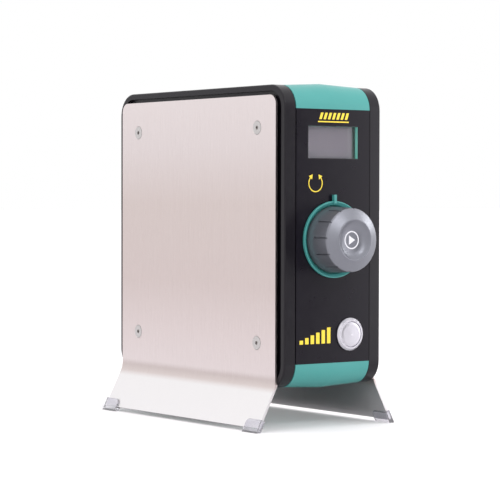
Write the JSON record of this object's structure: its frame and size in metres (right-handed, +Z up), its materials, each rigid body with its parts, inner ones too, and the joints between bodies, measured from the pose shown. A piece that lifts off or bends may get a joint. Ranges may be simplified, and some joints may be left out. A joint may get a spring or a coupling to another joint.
{
  "type": "benchtop motor drive control unit",
  "caption": "Upright box between two splayed steel side plates, with a display, a push-and-turn knob inside a direction ring, and a round push-button.",
  "frame": {"origin": "on the floor, under the centre of the bounding box", "axes": "+Z up, the front panel faces -Y, +X to the right when facing the front"},
  "size_m": [0.1182, 0.2314, 0.2309],
  "materials": {
    "frame_plastic": "fine satin, near black",
    "steel_sheet": "brushed stainless sheet",
    "screw_steel": "bright machined",
    "bumper_clear": "clear soft plastic",
    "teal_plastic": "teal, satin gloss",
    "panel_plastic": "near black, even",
    "window_clear": "clear window",
    "lcd": "grey liquid crystal cell",
    "board": "green circuit board",
    "black_plastic": "moulded black",
    "knob_plastic": "grey satin",
    "shaft_steel": "ground",
    "button_steel": "satin stainless",
    "gasket_rubber": "soft black",
    "brass": "plated contact",
    "aluminium": "plain",
    "lead_insulation": "insulated wire"
  },
  "bodies": {
    "housing": {"bottom_cover": "teal_plastic", "chassis_plate": "aluminium", "chassis_screws": "screw_steel", "control_board": "board", "control_board_parts": "black_plastic", "control_board_screws": "screw_steel", "control_board_spacers": "brass", "display_bezel": "teal_plastic", "display_glass": "lcd", "display_module": "black_plastic", "display_window": "window_clear", "drive_board": "board", "earth_stud": "brass", "earth_stud_nuts": "brass", "encoder_body": "black_plastic", "encoder_nut": "brass", "front_panel": "panel_plastic", "inner_board_screws": "screw_steel", "inner_board_spacers": "brass", "internal_leads": "lead_insulation", "left_front_bumper": "bumper_clear", "left_rear_bumper": "bumper_clear", "left_side_frame": "frame_plastic", "left_side_plate": "steel_sheet", "mains_inlet": "black_plastic", "mains_inlet_nuts": "screw_steel", "mains_inlet_pins": "brass", "mains_inlet_screws": "screw_steel", "motor_socket": "aluminium", "motor_socket_insert": "black_plastic", "motor_socket_nut": "brass", "motor_socket_pins": "brass", "power_button_housing": "button_steel", "power_button_nut": "brass", "power_button_seal": "gasket_rubber", "power_button_spring": "shaft_steel", "power_button_terminals": "brass", "rear_panel": "panel_plastic", "right_front_bumper": "bumper_clear", "right_rear_bumper": "bumper_clear", "right_side_frame": "frame_plastic", "right_side_plate": "steel_sheet", "ring_collar": "black_plastic", "ring_collar_screws": "screw_steel", "side_plate_screws": "screw_steel", "supply_board": "board", "tie_bars": "aluminium", "top_cover": "teal_plastic"},
    "knob_push": {"encoder_plunger": "black_plastic"},
    "knob": {"knob": "knob_plastic", "knob_grub_screw": "screw_steel", "encoder_shaft": "shaft_steel"},
    "direction_ring": {"direction_ring": "teal_plastic", "ring_retainer": "shaft_steel", "ring_magnet": "screw_steel"},
    "power_button": {"power_button_cap": "button_steel"},
    "fuse_drawer": {"fuse_drawer": "black_plastic", "fuses": "window_clear"}
  },
  "joints": [
    {"name": "knob_press", "type": "slide", "parent": "housing", "child": "knob_push", "axis": [0, 1, 0], "range_m": [0, 0.0008], "stiffness_N_per_m": 2500, "springref_m": -0.0006},
    {"name": "knob_turn", "type": "hinge", "parent": "knob_push", "child": "knob", "pos_m": [0, -0.09225, 0.1266], "axis": [0, 1, 0], "continuous": true},
    {"name": "ring_turn", "type": "hinge", "parent": "housing", "child": "direction_ring", "pos_m": [0, -0.09225, 0.1266], "axis": [0, -1, 0], "range_deg": [-20, 20]},
    {"name": "button_press", "type": "slide", "parent": "housing", "child": "power_button", "axis": [0, 1, 0], "range_m": [0, 0.0015], "stiffness_N_per_m": 1500, "springref_m": -0.001, "deforming": ["power_button_spring"]},
    {"name": "fuse_drawer_pull", "type": "slide", "parent": "housing", "child": "fuse_drawer", "axis": [0, 1, 0], "range_m": [0, 0.013]}
  ]
}
